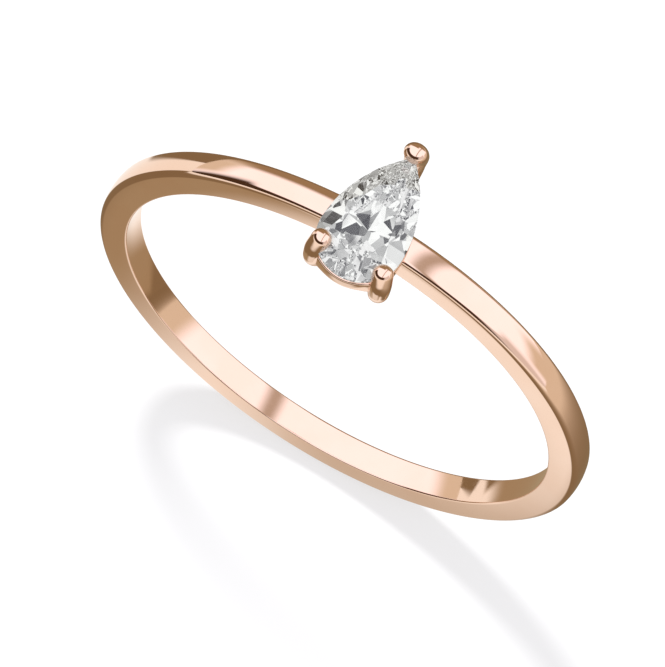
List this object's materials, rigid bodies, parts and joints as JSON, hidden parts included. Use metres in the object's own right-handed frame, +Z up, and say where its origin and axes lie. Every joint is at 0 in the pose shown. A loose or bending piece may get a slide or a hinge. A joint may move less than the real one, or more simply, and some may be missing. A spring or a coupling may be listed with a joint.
{
  "type": "engagement ring",
  "caption": "Slim rose gold solitaire ring: a plain polished band with a low open head holding one pear-shaped faceted stone in three claws.",
  "frame": {"origin": "centre of the finger hole, midway across the band", "axes": "+Z up through the stone, +Y along the finger towards the stone's point, +X along the band"},
  "size_m": [0.0192, 0.0057, 0.0215],
  "materials": {
    "rose_gold": "high polish",
    "diamond": "polished facets"
  },
  "bodies": {
    "root": {"shank": "rose_gold", "head_collar": "rose_gold", "head_peg": "rose_gold", "gallery_rail": "rose_gold", "round_end_prong_left": "rose_gold", "round_end_prong_right": "rose_gold", "tip_prong": "rose_gold", "pear_diamond": "diamond"}
  },
  "joints": []
}
